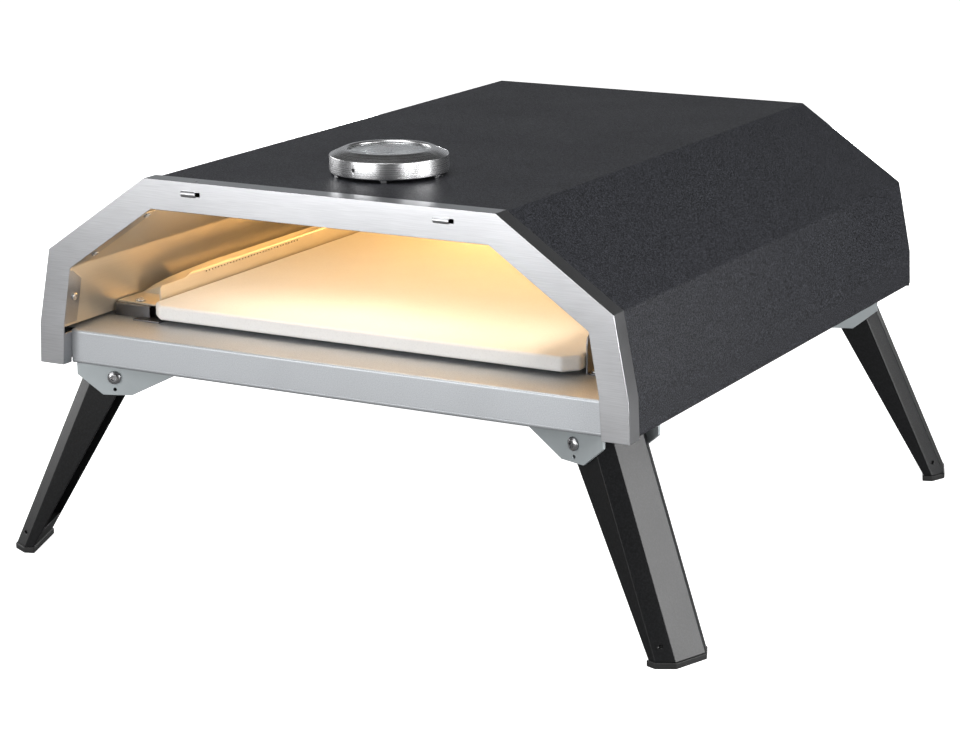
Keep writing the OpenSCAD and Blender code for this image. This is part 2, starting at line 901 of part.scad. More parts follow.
module thermometer_bezel() {
    wall = 1.2;
    bevel_z = bezel_top_z - bezel_bevel_h;
    color("silver") at_thermometer() {
        difference() {
            rotate_extrude()
                polygon([
                    [probe_r + 0.2, bezel_z], [bezel_r - 0.8, bezel_z], [bezel_r, bezel_z + 0.8],
                    [bezel_r, bevel_z], [bezel_lip_r, bezel_top_z], [glass_r + 0.8, bezel_top_z],
                    [glass_r, bezel_top_z - 0.8], [glass_r, glass_z + 1.6], [glass_r + 0.6, glass_z + 1.6],
                    [glass_r + 0.6, glass_z], [glass_r, glass_z], [glass_r, bezel_z + wall + 1],
                    [probe_r + 0.2, bezel_z + wall + 1]
                ]);
            rotate([0, 0, -95.6])
                translate([glass_r + 4, 0, bezel_z + 5.6])
                    rotate([0, 90, 0])
                        cylinder(r = 1.2, h = 20, $fn = small_fn);
        }
        // Tabs that hold the bezel clear of the hot hood
        tab_low = body_h - hood_in + 0.1;
        for (a = [-5:60:295])
            rotate([0, 0, a])
                translate([bezel_r - 2.2, -1.7, tab_low])
                    cube([1.5, 3.4, bezel_z - tab_low + 0.5]);
    }
}

module thermometer_glass() {
    color("lightcyan") at_thermometer()
        translate([0, 0, glass_z + 0.05]) cylinder(r = glass_r + 0.5, h = 1.5);
}

module thermometer_dial() {
    color("white") at_thermometer()
        difference() {
            translate([0, 0, dial_z]) cylinder(r = glass_r - 0.1, h = 0.6);
            translate([0, 0, dial_z - 1]) cylinder(r = 1.2, h = 4, $fn = small_fn);
        }
    color("white") at_thermometer()
        for (a = [45, 165, 285])
            rotate([0, 0, a])
                translate([18, 0, bezel_z + 2.2])
                    cylinder(r = 1.2, h = dial_z - bezel_z - 2.2, $fn = small_fn);
}

module thermometer_probe() {
    color("silver") at_thermometer() {
        translate([0, 0, probe_low_z]) cylinder(r = probe_r, h = dial_z - 0.4 - probe_low_z, $fn = small_fn);
        translate([0, 0, probe_low_z - 1.5]) cylinder(r = probe_r - 1, h = 2, $fn = small_fn);
        translate([0, 0, dial_z - 0.5]) cylinder(r = 1, h = 2.6, $fn = small_fn);
    }
}

module thermometer_nut() {
    nut_h = 4;
    color("silver") at_thermometer()
        translate([0, 0, body_h - hood_in - thin_sheet - nut_h - 0.1])
            difference() {
                cylinder(r = 8, h = nut_h, $fn = 6);
                translate([0, 0, -1]) cylinder(r = probe_r + 0.02, h = nut_h + 2, $fn = small_fn);
            }
}

// The pointer rests at the cold end of the scale
module thermometer_needle() {
    rest_angle = -135;
    needle_z = dial_z + 1;
    color("red") at_thermometer()
        difference() {
            translate([0, 0, needle_z])
                rotate([0, 0, rest_angle])
                    union() {
                        cylinder(r = needle_hub_r, h = 0.9, $fn = small_fn);
                        linear_extrude(0.6)
                            polygon([[-7, -0.9], [0, -1.1], [21, -0.25], [21, 0.25], [0, 1.1], [-7, 0.9]]);
                    }
            translate([0, 0, needle_z - 1]) cylinder(r = 1 + running_gap, h = 4, $fn = small_fn);
        }
}

// ---- Legs ----

module leg_bracket(side, rear) {
    color("silver") at_leg(side, rear)
        difference() {
            union() {
                for (w = [bracket_w0, bracket_w1 - plate])
                    along_y(w, plate) polygon(bracket_side);
                translate([98, bracket_w0, base_z - plate]) cube([80, bracket_w1 - bracket_w0, plate]);
            }
            bar_y(pivot_o, pivot_z, bolt_r + 0.1, bracket_w0 - 1, bracket_w1 + 1, small_fn);
            for (o = bracket_screw_os)
                translate([o, (bracket_w0 + bracket_w1) / 2, base_z - 5])
                    cylinder(r = 2.1, h = 10, $fn = small_fn);
            bar_y(pivot_o, pivot_z - detent_drop, detent_r, bracket_w0 - 1, bracket_w0 + plate + 0.1, small_fn);
        }
}

module pivot_bolt(side, rear) {
    color("silver") at_leg(side, rear)
        translate([pivot_o, bracket_w0, pivot_z])
            rotate([90, 0, 0])
                screw(bolt_head_r, bolt_head_h, bolt_r, bracket_w1 - bracket_w0 + 5, cross = false);
}

module pivot_nut(side, rear) {
    nut_h = 4;
    at_leg(side, rear)
        difference() {
            translate([pivot_o, bracket_w1, pivot_z])
                rotate([-90, 0, 0])
                    cylinder(r = 4.6, h = nut_h, $fn = 6);
            bar_y(pivot_o, pivot_z, bolt_r + 0.02, bracket_w1 - 1, bracket_w1 + nut_h + 1, small_fn);
        }
}

module pivot_nuts() {
    color("silver")
        for (side = [-1, 1], rear = [false, true]) pivot_nut(side, rear);
}

// The leg's section, with chamfered corners, run along the lean of its web
module leg_section(t) {
    w0 = leg_w0 + t;
    w1 = leg_w0 + leg_w - t;
    shrink = t * 0.45;
    x = web_gap - t;
    rotate([0, -lean, 0])
        translate([0, 0, -200])
            linear_extrude(260)
                polygon([
                    [-60, w0], [x - chamfer_d + shrink, w0], [x, w0 + chamfer_w - shrink],
                    [x, w1 - chamfer_w + shrink], [x - chamfer_d + shrink, w1], [-60, w1]
                ]);
}

// Side view of the leg: a round knuckle at the pivot and a tapering blade
module leg_side() {
    touch_point = (knuckle_r - 0.05) * [-cos(inner_lean), -sin(inner_lean)];
    top = knuckle_r - 0.05;
    web_top = web_gap / cos(lean) - top * tan(lean);
    circle(r = knuckle_r);
    polygon([
        [0, top], touch_point, [inner_at_bottom, leg_bottom], [web_at_bottom, leg_bottom],
        [web_top, top]
    ]);
}

module leg(side, rear) {
    color("black") at_leg(side, rear)
        difference() {
            translate([pivot_o, 0, pivot_z])
                difference() {
                    intersection() {
                        along_y(leg_w0, leg_w) leg_side();
                        leg_section(0);
                    }
                    leg_section(leg_t);
                }
            bar_y(pivot_o, pivot_z, bolt_r + running_gap, leg_w0 - 1, leg_w0 + leg_w + 1);
            // Small hole near the foot, for the cap's clip
            bar_y(pivot_o + inner_at_bottom + 6, pivot_z + leg_bottom + 9, 1, leg_w0 - 1,
                  leg_w0 + leg_w + 1, small_fn);
        }
}

module foot(side, rear) {
    color("black") at_leg(side, rear) {
        translate([pivot_o, 0, -stand_h]) linear_extrude(foot_h) polygon(foot_outline);
        translate([pivot_o, 0, pivot_z])
            intersection() {
                leg_section(leg_t);
                along_y(leg_w0, leg_w) leg_side();
                translate([0, 0, leg_bottom - eps]) cube([200, 400, foot_plug_h]);
            }
    }
}

// ---- Stone ----

module pizza_stone() {
    c = stone_cut;
    color("ivory") in_body()
        translate([stone_x - stone_w / 2, stone_y, stone_z])
            linear_extrude(stone_t)
                polygon([
                    [c, 0], [stone_w - c, 0], [stone_w, c], [stone_w, stone_d - c],
                    [stone_w - c, stone_d], [c, stone_d], [0, stone_d - c], [0, c]
                ]);
}

// ---- Screws ----

tab_screw_y = 8;
tab_screws = [[1, 0.48], [2, 0.22], [2, 0.87]];

// Places on the chamber side of the mouth's edges, each with z pointing into the chamber
module at_liner_screws() {
    for (s = [0, 1], p = tab_screws)
        mirror([s, 0, 0])
            let (a = mouth[p[0]], b = mouth[p[0] + 1], at = a + (b - a) * p[1])
                translate([at.x, tab_screw_y, at.y])
                    rotate([0, -90 - atan2(a.x - b.x, b.y - a.y), 0])
                        children();
}

// Screws that hold the liner to the frame's return tabs
module liner_screws() {
    color("silver") in_body()
        at_liner_screws() translate([0, 0, 0.05]) screw(2.6, 1.5, 1.2, 3.5);
}

module liner_screw_holes() {
    at_liner_screws() translate([0, 0, -4]) cylinder(r = 1.3, h = 8, $fn = small_fn);
}

module chamber_screws() {
    color("silver") in_body() {
        translate([guard_screw.x, guard_screw.y, bracket_top_z + thin_sheet]) screw(3.6, 2, 1.6, 4);
        translate([clip_hole.x, clip_hole.y, tray_z + thin_sheet]) screw(3, 1.8, 1.6, 2.3);
    }
}

module rear_screws() {
    color("silver") in_body()
        for (p = panel_screw_at)
            translate([p.x, rear_face_y, p.y]) rotate([-90, 0, 0]) screw(3, 1.8, 1.5, 4);
}

module at_bracket_screws() {
    for (side = [-1, 1], rear = [false, true], o = bracket_screw_os)
        at_leg(side, rear)
            translate([o, (bracket_w0 + bracket_w1) / 2, base_z - plate])
                children();
}

module bracket_screws() {
    color("silver") at_bracket_screws() rotate([180, 0, 0]) screw(3.6, 1.8, 2, 5);
}

front_frame();
hood_shell();
inner_liner();
insulation_blanket();
rear_outer_panel();
rear_inner_panel();
base_tray();
base_pan();
floor_insulation();
stone_rails();
flame_guard();
guard_bracket();
stone_clip();
burner_tube();
burner_saddle();
burner_venturi();
gas_jet();
gas_valve();
valve_bracket();
gas_inlet();
igniter_module();
electrode_insulator();
electrode_rod();
igniter_wire();
thermometer_bezel();
thermometer_glass();
thermometer_dial();
thermometer_probe();
thermometer_nut();
thermometer_needle();
leg_bracket(-1, false);  // bracket_front_left
leg_bracket(1, false);  // bracket_front_right
leg_bracket(-1, true);  // bracket_rear_left
leg_bracket(1, true);  // bracket_rear_right
pivot_bolt(-1, false);  // pivot_bolt_front_left
pivot_bolt(1, false);  // pivot_bolt_front_right
pivot_bolt(-1, true);  // pivot_bolt_rear_left
pivot_bolt(1, true);  // pivot_bolt_rear_right
pivot_nuts();
leg(-1, false);  // leg_front_left
leg(1, false);  // leg_front_right
leg(-1, true);  // leg_rear_left
leg(1, true);  // leg_rear_right
foot(-1, false);  // foot_front_left
foot(1, false);  // foot_front_right
foot(-1, true);  // foot_rear_left
foot(1, true);  // foot_rear_right
pizza_stone();
push_collar();
return_spring();
valve_stem();
control_knob();
knob_plate();
liner_screws();
chamber_screws();
rear_screws();
bracket_screws();
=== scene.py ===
"""Portable gas pizza oven: materials, fine detail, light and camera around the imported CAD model."""

import math

import bmesh
import bpy
from mathutils import Matrix, Vector


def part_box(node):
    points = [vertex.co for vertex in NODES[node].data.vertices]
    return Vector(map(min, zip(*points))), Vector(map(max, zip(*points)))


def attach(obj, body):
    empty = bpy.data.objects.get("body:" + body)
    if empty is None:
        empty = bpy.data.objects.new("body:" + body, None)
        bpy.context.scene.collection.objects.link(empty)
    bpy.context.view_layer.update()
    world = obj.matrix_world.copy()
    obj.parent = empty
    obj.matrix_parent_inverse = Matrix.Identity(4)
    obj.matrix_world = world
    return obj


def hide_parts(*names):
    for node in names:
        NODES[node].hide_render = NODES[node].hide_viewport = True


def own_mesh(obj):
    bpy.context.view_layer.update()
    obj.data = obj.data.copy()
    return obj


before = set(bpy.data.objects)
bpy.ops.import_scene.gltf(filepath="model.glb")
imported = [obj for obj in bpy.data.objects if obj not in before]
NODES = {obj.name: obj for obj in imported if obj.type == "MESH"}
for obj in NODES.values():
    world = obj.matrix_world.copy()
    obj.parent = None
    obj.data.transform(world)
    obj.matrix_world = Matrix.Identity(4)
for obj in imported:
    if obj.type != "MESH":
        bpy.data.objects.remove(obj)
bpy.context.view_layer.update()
MM = 0.001

BODY_D = 474 * MM
FACE_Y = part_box("hood_shell")[1].y - BODY_D
BASE_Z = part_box("front_frame")[0].z
LEGS = ("front_left", "front_right", "rear_left", "rear_right")


def at(x, y, z):
    """A point given in millimetres from the middle of the body's lower front edge."""
    return Vector((x * MM, FACE_Y + y * MM, BASE_Z + z * MM))


# ---- Camera ----

CAMERA_AT = at(874.72, -1372.71, 441.37)
CAMERA_YAW, CAMERA_PITCH, CAMERA_ROLL = (math.radians(a) for a in (28.95, -14.67, -0.39))
LENS_MM, SENSOR_MM = 101.6, 36
CLIP_START, CLIP_END = 0.05, 50

camera = bpy.data.objects.new("camera", bpy.data.cameras.new("camera"))
camera.data.sensor_width = SENSOR_MM
camera.data.lens = LENS_MM
camera.data.clip_start = CLIP_START
camera.data.clip_end = CLIP_END
camera.matrix_world = (
    Matrix.Translation(CAMERA_AT)
    @ Matrix.Rotation(CAMERA_YAW, 4, "Z")
    @ Matrix.Rotation(math.pi / 2 + CAMERA_PITCH, 4, "X")
    @ Matrix.Rotation(CAMERA_ROLL, 4, "Z")
)
bpy.context.scene.collection.objects.link(camera)
bpy.context.scene.camera = camera


# ---- Materials ----

# Marks in a metre, and their depths in metres
HAIRS_ACROSS, HAIRS_ALONG, HAIR_DEPTH = 3000, 60, 0.000002
METAL_GRAIN, METAL_GRAIN_DEPTH = 900, 0.00001
TURNED_RINGS, TURNED_DEPTH = 3800, 0.0000012
STONE_GRAIN, STONE_GRAIN_DEPTH = 900, 0.00012
STONE_PITS, STONE_PIT_DEPTH = 420, 0.0002
FIBRE_STRANDS, FIBRE_DEPTH = 260, 0.0006
TRAY_SPARKLE, TRAY_DEPTH = 1600, 0.000012


class Graph:
    """A material's node tree, with short ways to add the nodes that these materials share.

    Texture scales count features in a metre, because coordinates are in metres. Other sockets of
    the shader are given by name, with _ for a space.
    """

    def __init__(self, name, color, metallic=0.0, rough=0.5, **sockets):
        self.material = bpy.data.materials.new(name)
        self.material.use_nodes = True
        self.tree = self.material.node_tree
        self.shader = self.tree.nodes["Principled BSDF"]
        self.shader.inputs["Base Color"].default_value = (*color, 1)
        self.shader.inputs["Metallic"].default_value = metallic
        self.shader.inputs["Roughness"].default_value = rough
        for socket, value in sockets.items():
            self.shader.inputs[socket.replace("_", " ")].default_value = value
        self.coords = self.add("ShaderNodeTexCoord").outputs["Object"]
        self.height = None

    def add(self, kind, **settings):
        node = self.tree.nodes.new(kind)
        for key, value in settings.items():
            setattr(node, key, value)
        return node

    def link(self, source, target):
        self.tree.links.new(source, target)

    def stretched(self, scale):
        """The object's coordinates, in metres, scaled along each axis."""
        node = self.add("ShaderNodeMapping")
        node.inputs["Scale"].default_value = scale
        self.link(self.coords, node.inputs["Vector"])
        return node.outputs["Vector"]

    def noise(self, scale, detail=2.0, rough=0.5, vector=None, distortion=0.0):
        node = self.add("ShaderNodeTexNoise")
        node.inputs["Scale"].default_value = scale
        node.inputs["Detail"].default_value = detail
        node.inputs["Roughness"].default_value = rough
        node.inputs["Distortion"].default_value = distortion
        self.link(vector or self.coords, node.inputs["Vector"])
        return node.outputs["Fac"]

    def cells(self, scale):
        """The distance to the middle of the nearest of scale cells in a metre."""
        node = self.add("ShaderNodeTexVoronoi")
        node.inputs["Scale"].default_value = scale
        self.link(self.coords, node.inputs["Vector"])
        return node.outputs["Distance"]

    def span(self, value, low, high, to_low=0.0, to_high=1.0):
        """value, taken from low..high to to_low..to_high."""
        node = self.add("ShaderNodeMapRange")
        for socket, number in zip(node.inputs[1:5], (low, high, to_low, to_high)):
            socket.default_value = number
        self.link(value, node.inputs["Value"])
        return node.outputs["Result"]

    def math(self, operation, *values):
        """One step of arithmetic; each value is a number or a socket."""
        node = self.add("ShaderNodeMath", operation=operation)
        for socket, value in zip(node.inputs, values):
            if isinstance(value, (int, float)):
                socket.default_value = value
            else:
                self.link(value, socket)
        return node.outputs["Value"]

    def axis(self, name):
        """The object's coordinate along one axis, in metres."""
        node = self.add("ShaderNodeSeparateXYZ")
        self.link(self.coords, node.inputs["Vector"])
        return node.outputs[name]

    def blend(self, factor, a, b):
        """A colour between a and b; each is a colour or a socket."""
        node = self.add("ShaderNodeMix", data_type="RGBA")
        self.link(factor, node.inputs["Factor"])
        for socket, value in zip((node.inputs["A"], node.inputs["B"]), (a, b)):
            if isinstance(value, tuple):
                socket.default_value = (*value, 1)
            else:
                self.link(value, socket)
        return node.outputs["Result"]

    def color(self, socket):
        self.link(socket, self.shader.inputs["Base Color"])

    def roughness(self, socket):
        self.link(socket, self.shader.inputs["Roughness"])

    def bump(self, socket, height, strength=1.0):
        """Adds a height in metres, over the heights already added."""
        node = self.add("ShaderNodeBump")
        node.inputs["Strength"].default_value = strength
        node.inputs["Distance"].default_value = height
        self.link(socket, node.inputs["Height"])
        if self.height:
            self.link(self.height, node.inputs["Normal"])
        self.height = node.outputs["Normal"]
        self.link(self.height, self.shader.inputs["Normal"])


def powder_coat(name, dark, light, cell, depth, rough, level):
    """Textured powder coat: a fine orange-peel skin, cell metres apart, with painted glints: its
    crests and scattered specks are paler in colour.
    """
    g = Graph(name, dark, rough=rough, Specular_IOR_Level=level)
    skin = g.noise(1 / cell, 1)
    painted_glint_specks = g.span(g.cells(1.3 / cell), 0.1, 0.35, 1, 0.55)
    # painted glints: the colour runs from dark to light on the skin's crests and on the scattered
    # specks, standing in for sparkle from light
    g.color(g.blend(g.math("MULTIPLY", g.span(skin, 0.4, 0.68), painted_glint_specks), dark, light))
    handling = g.noise(9, 3)
    g.roughness(g.span(handling, 0.3, 0.7, rough - 0.03, rough + 0.04))
    g.bump(skin, depth)
    return g.material


def scaled(color, factor):
    return tuple(c * factor for c in color)


def brushed(name, color, direction, rough, tint, metallic=1.0):
    """Brushed steel: short fine hairs along one direction, over faint handling smears."""
    hair = [HAIRS_ACROSS] * 3
    hair["xyz".index(direction)] = HAIRS_ALONG
    g = Graph(name, color, metallic, rough)
    hairs = g.noise(1, 1, vector=g.stretched(hair))
    smears = g.noise(16, 3, 0.6)
    g.color(g.blend(g.span(hairs, 0.25, 0.75), scaled(color, 1 - tint), scaled(color, 1 + tint)))
    g.roughness(g.span(smears, 0.3, 0.7, rough - 0.03, rough + 0.03))
    g.bump(hairs, HAIR_DEPTH)
    return g.material


def plain_metal(name, color, rough, metallic=1.0):
    """Cast, turned or plated metal with a fine even grain and faint smears."""
    g = Graph(name, color, metallic, rough)
    smears = g.noise(40, 4, 0.6)
    g.color(g.blend(g.span(smears, 0.3, 0.7), scaled(color, 0.93), color))
    g.roughness(g.span(smears, 0.3, 0.7, rough - 0.05, rough + 0.07))
    g.bump(g.noise(METAL_GRAIN), METAL_GRAIN_DEPTH)
    return g.material


def turned(name, color, centre, rough):
    """Turned metal, with fine rings round a vertical axis."""
    g = Graph(name, color, 1.0, rough)
    x = g.math("SUBTRACT", g.axis("X"), centre.x)
    y = g.math("SUBTRACT", g.axis("Y"), centre.y)
    radius = g.math("SQRT", g.math("ADD", g.math("MULTIPLY", x, x), g.math("MULTIPLY", y, y)))
    section = g.add("ShaderNodeCombineXYZ")
    g.link(g.math("MULTIPLY", radius, TURNED_RINGS), section.inputs["X"])
    g.link(g.math("MULTIPLY", g.axis("Z"), TURNED_RINGS), section.inputs["Y"])
    rings = g.noise(1, 3, 0.6, section.outputs["Vector"])
    g.color(g.blend(g.span(rings, 0.3, 0.7), scaled(color, 0.9), color))
    g.roughness(g.span(rings, 0.3, 0.7, rough - 0.05, rough + 0.08))
    g.bump(rings, TURNED_DEPTH)
    return g.material


def stone_material():
    """Pale cordierite: a sandy grain with small pits."""
    pale = (0.93, 0.93, 0.92)
    g = Graph("stone_cordierite", pale, rough=0.82)
    cloud = g.noise(30, 4, 0.6)
    grain = g.noise(STONE_GRAIN, 3, 0.6)
    pits = g.span(g.cells(STONE_PITS), 0, 0.16)
    mottled = g.blend(g.span(cloud, 0.3, 0.7), (0.91, 0.905, 0.895), pale)
    g.color(g.blend(g.span(grain, 0.25, 0.5), (0.87, 0.865, 0.855), mottled))
    g.bump(grain, STONE_GRAIN_DEPTH, 0.5)
    g.bump(pits, STONE_PIT_DEPTH, 0.35)
    return g.material


def fibre_material():
    """White ceramic fibre, matted from curling strands."""
    g = Graph("ceramic_fibre", (0.82, 0.81, 0.77), rough=0.95)
    strands = g.noise(FIBRE_STRANDS, 5, 0.7, distortion=1.5)
    g.color(g.blend(g.span(strands, 0.35, 0.65), (0.72, 0.7, 0.65), (0.88, 0.87, 0.84)))
    g.bump(strands, FIBRE_DEPTH, 0.8)
    return g.material


def plastic(name, color, rough, grain, depth):
    """Moulded plastic, rubber, enamel or ink: a fine skin, paler where it is worn."""
    g = Graph(name, color, rough=rough)
    worn = g.noise(60, 3)
    g.color(g.blend(g.span(worn, 0.35, 0.7), color, scaled(color, 1.35)))
    g.roughness(g.span(worn, 0.3, 0.7, rough - 0.06, rough + 0.06))
    g.bump(g.noise(grain, 3, 0.6), depth)
    return g.material


def tray_material():
    """Satin galvanised sheet with a fine even sparkle."""
    dark, light = (0.445, 0.463, 0.486), (0.565, 0.587, 0.609)
    g = Graph("tray_satin_steel", dark, 0.6, 0.42)
    sparkle = g.noise(TRAY_SPARKLE, 2, 0.7)
    g.color(g.blend(g.span(sparkle, 0.35, 0.65), dark, light))
    g.roughness(g.span(g.noise(18, 3), 0.3, 0.7, 0.38, 0.48))
    g.bump(sparkle, TRAY_DEPTH, 0.6)
    return g.material


def dial_material():
    """A satin dial, very faintly clouded."""
    g = Graph("dial_satin", (0.72, 0.72, 0.71), 0.2, 0.35)
    g.color(g.blend(g.span(g.noise(120, 3), 0.3, 0.7), (0.68, 0.68, 0.67), (0.75, 0.75, 0.74)))
    return g.material


def glass_material():
    """Clear glass with faint wiping marks."""
    g = Graph("gauge_glass", (0.96, 0.98, 0.99), rough=0.03, IOR=1.5, Transmission_Weight=1.0)
    g.roughness(g.span(g.noise(50, 3), 0.3, 0.8, 0.01, 0.05))
    return g.material


dial_centre = sum(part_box("thermometer_bezel"), Vector()) / 2
HOOD = powder_coat(
    "hood_powder_coat",
    dark=(0.0035, 0.0038, 0.0052),
    light=(0.085, 0.0885, 0.104),
    cell=0.0009,
    depth=0.00025,
    rough=0.5,
    level=0.35,
)
LEG = powder_coat(
    "leg_powder_coat",
    dark=(0.002, 0.0022, 0.0026),
    light=(0.0105, 0.011, 0.0125),
    cell=0.0011,
    depth=0.00004,
    rough=0.34,
    level=0.36,
)
FRAME = brushed("frame_brushed_steel", (0.51, 0.515, 0.53), "x", rough=0.3, tint=0.09)
LINER = brushed("liner_steel", (0.7, 0.65, 0.56), "y", rough=0.36, tint=0.03, metallic=0.8)
TRAY = tray_material()
ZINC = plain_metal("zinc_plate", (0.45, 0.49, 0.505), rough=0.42, metallic=0.35)
# painted shade: the stone clip and guard bracket get a darkened steel for the shade that falls on
# them
SHADE_DARKENED_STEEL = plain_metal("shade_darkened_bracket_steel", (0.2, 0.2, 0.21), rough=0.38)
STEEL = plain_metal("plain_steel", (0.6, 0.6, 0.61), rough=0.3)
# painted reflection: the pivot bolts get a darker steel than plain steel, standing in for the dark
# surroundings their heads reflect
BOLT = plain_metal("bolt_steel", (0.4, 0.4, 0.41), rough=0.24)
BRASS = plain_metal("turned_brass", (0.78, 0.6, 0.3), rough=0.28)
STONE = stone_material()
FIBRE = fibre_material()
PLASTIC = plastic("black_phenolic", (0.014, 0.014, 0.015), rough=0.4, grain=1400, depth=0.00003)
RUBBER = plastic("foot_rubber", (0.01, 0.01, 0.01), rough=0.6, grain=1000, depth=0.00004)
LEAD = plastic("silicone_lead", (0.33, 0.035, 0.02), rough=0.5, grain=700, depth=0.00002)
PORCELAIN = plastic("porcelain", (0.82, 0.81, 0.78), rough=0.2, grain=300, depth=0.00001)
RING = turned("gauge_turned_steel", (0.8, 0.8, 0.81), dial_centre, rough=0.26)
NEEDLE = plastic("needle_enamel", (0.42, 0.02, 0.015), rough=0.35, grain=900, depth=0.00001)
INK = plastic("dial_ink", (0.03, 0.03, 0.032), rough=0.5, grain=900, depth=0.000005)
WHITE_INK = plastic("pointer_paint", (0.8, 0.8, 0.78), rough=0.5, grain=900, depth=0.000005)
DIAL = dial_material()
GLASS = glass_material()

# Each node's material, and how much its sharp edges are rounded, in millimetres
LOOKS = {
    "front_frame": (FRAME, 0.35),
    "hood_shell": (HOOD, 0.3),
    "inner_liner": (LINER, 0.2),
    "insulation_blanket": (FIBRE, 0),
    "rear_outer_panel": (HOOD, 0.3),
    "rear_inner_panel": (LINER, 0.2),
    "base_tray": (TRAY, 0.12),
    "base_pan": (HOOD, 0.3),
    "floor_insulation": (FIBRE, 0),
    "stone_rails": (TRAY, 0.2),
    "flame_guard": (LINER, 0.12),
    "guard_bracket": (SHADE_DARKENED_STEEL, 0.25),
    "stone_clip": (SHADE_DARKENED_STEEL, 0.2),
    "burner_tube": (STEEL, 0.15),
    "burner_saddle": (STEEL, 0.2),
    "burner_venturi": (STEEL, 0.3),
    "gas_jet": (BRASS, 0.2),
    "gas_valve": (ZINC, 0.8),
    "valve_bracket": (ZINC, 0.2),
    "gas_inlet": (BRASS, 0.3),
    "igniter_module": (PLASTIC, 0.5),
    "electrode_insulator": (PORCELAIN, 0.5),
    "electrode_rod": (STEEL, 0.2),
    "igniter_wire": (LEAD, 0),
    "thermometer_bezel": (RING, 0.25),
    "thermometer_glass": (GLASS, 0.2),
    "thermometer_dial": (DIAL, 0.1),
    "thermometer_probe": (STEEL, 0.2),
    "thermometer_nut": (STEEL, 0.4),
    "thermometer_needle": (NEEDLE, 0),
    "pivot_nuts": (ZINC, 0.4),
    "pizza_stone": (STONE, 2.2),
    "push_collar": (STEEL, 0.3),
    "return_spring": (STEEL, 0),
    "valve_stem": (STEEL, 0.3),
    "control_knob": (PLASTIC, 0.3),
    "knob_plate": (FRAME, 0.15),
    "liner_screws": (STEEL, 0.2),
    "chamber_screws": (STEEL, 0.2),
    "rear_screws": (STEEL, 0.2),
    "bracket_screws": (ZINC, 0.2),
}
for leg in LEGS:
    LOOKS["bracket_" + leg] = (ZINC, 0.35)
    LOOKS["pivot_bolt_" + leg] = (BOLT, 0.15)
    LOOKS["leg_" + leg] = (LEG, 0.45)
    LOOKS["foot_" + leg] = (RUBBER, 0.6)

WELD_WITHIN = 0.000002
FLAT_WITHIN = math.radians(0.3)
BEVEL_FROM = math.radians(25)
WIDE_BEVEL_MM = 1


def shade_smooth(mesh):
    mesh.polygons.foreach_set("use_smooth", [True] * len(mesh.polygons))


def soften(node, width):
    """Rounds the node's sharp edges by width millimetres, with modifiers that keep its shape."""
    attributes = node.data.attributes
    if attributes.get("custom_normal"):
        attributes.remove(attributes["custom_normal"])
    shade_smooth(node.data)
    for name in ("sharp_edge", "sharp_face"):
        if attributes.get(name):
            attributes.remove(attributes[name])
    weld = node.modifiers.new("weld", "WELD")
    weld.merge_threshold = WELD_WITHIN
    flat = node.modifiers.new("flat_faces", "DECIMATE")
    flat.decimate_type = "DISSOLVE"
    flat.angle_limit = FLAT_WITHIN
    if width:
        bevel = node.modifiers.new("edges", "BEVEL")
        bevel.limit_method = "ANGLE"
        bevel.angle_limit = BEVEL_FROM
        bevel.width = width * MM
        bevel.segments = 3 if width >= WIDE_BEVEL_MM else 2
        bevel.use_clamp_overlap = False
        bevel.miter_outer = "MITER_ARC"
    even = node.modifiers.new("normals", "WEIGHTED_NORMAL")
    even.mode = "FACE_AREA"
    even.weight = 50


for name, (material, width) in LOOKS.items():
    NODES[name].data.materials.clear()
    NODES[name].data.materials.append(material)
    soften(NODES[name], width)


# ---- Printed and painted marks ----


MARK_T = 0.12  # Millimetres, as are the lengths below
SCALE_START, SCALE_TURN = 225, -270  # Degrees, anticlockwise as seen from above
SCALE_STEPS, STEPS_PER_NUMBER, NUMBER_STEP = 50, 10, 100
TICK_END_R, NUMBER_R, NUMBER_SIZE = 25.4, 17.2, 4.4
LONG_TICK, HALF_TICK, SHORT_TICK = (4.6, 0.9), (3.4, 0.6), (2.2, 0.35)
INK_LIFT = 0.01
POINTER_SIZE, POINTER_MIDDLE = (1.4, 0.5, 11.4), (0, -0.7, 10.2)


def add_box(mesh, centre, size, turn=0.0):
    """Adds a box by its centre and size in millimetres, then turns it about the mesh's Z axis."""
    place = Matrix.Rotation(turn, 4, "Z") @ Matrix.Translation(Vector(centre) * MM)
    stretch = Matrix.Diagonal((*(v * MM for v in size), 1))
    bmesh.ops.create_cube(mesh, size=1, matrix=place @ stretch)


def add_number(mesh, number, size, place):
    """Adds a numeral as a thin raised plate, its middle at place."""
    curve = bpy.data.curves.new("numeral", "FONT")
    curve.body = str(number)
    curve.size = size * MM
    curve.extrude = MARK_T / 2 * MM
    curve.align_x = curve.align_y = "CENTER"
    holder = bpy.data.objects.new("numeral", curve)
    plate = bpy.data.meshes.new_from_object(holder)
    plate.transform(place)
    mesh.from_mesh(plate)
    bpy.data.objects.remove(holder)
    bpy.data.meshes.remove(plate)
    bpy.data.curves.remove(curve)


def finished(name, mesh, material, where, body):
    """Makes mesh, moved to where, a piece that rides on a body."""
    piece = bpy.data.objects.new(name, bpy.data.meshes.new(name))
    mesh.to_mesh(piece.data)
    mesh.free()
    piece.data.transform(Matrix.Translation(where))
    piece.data.materials.append(material)
    bpy.context.scene.collection.objects.link(piece)
    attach(piece, body)


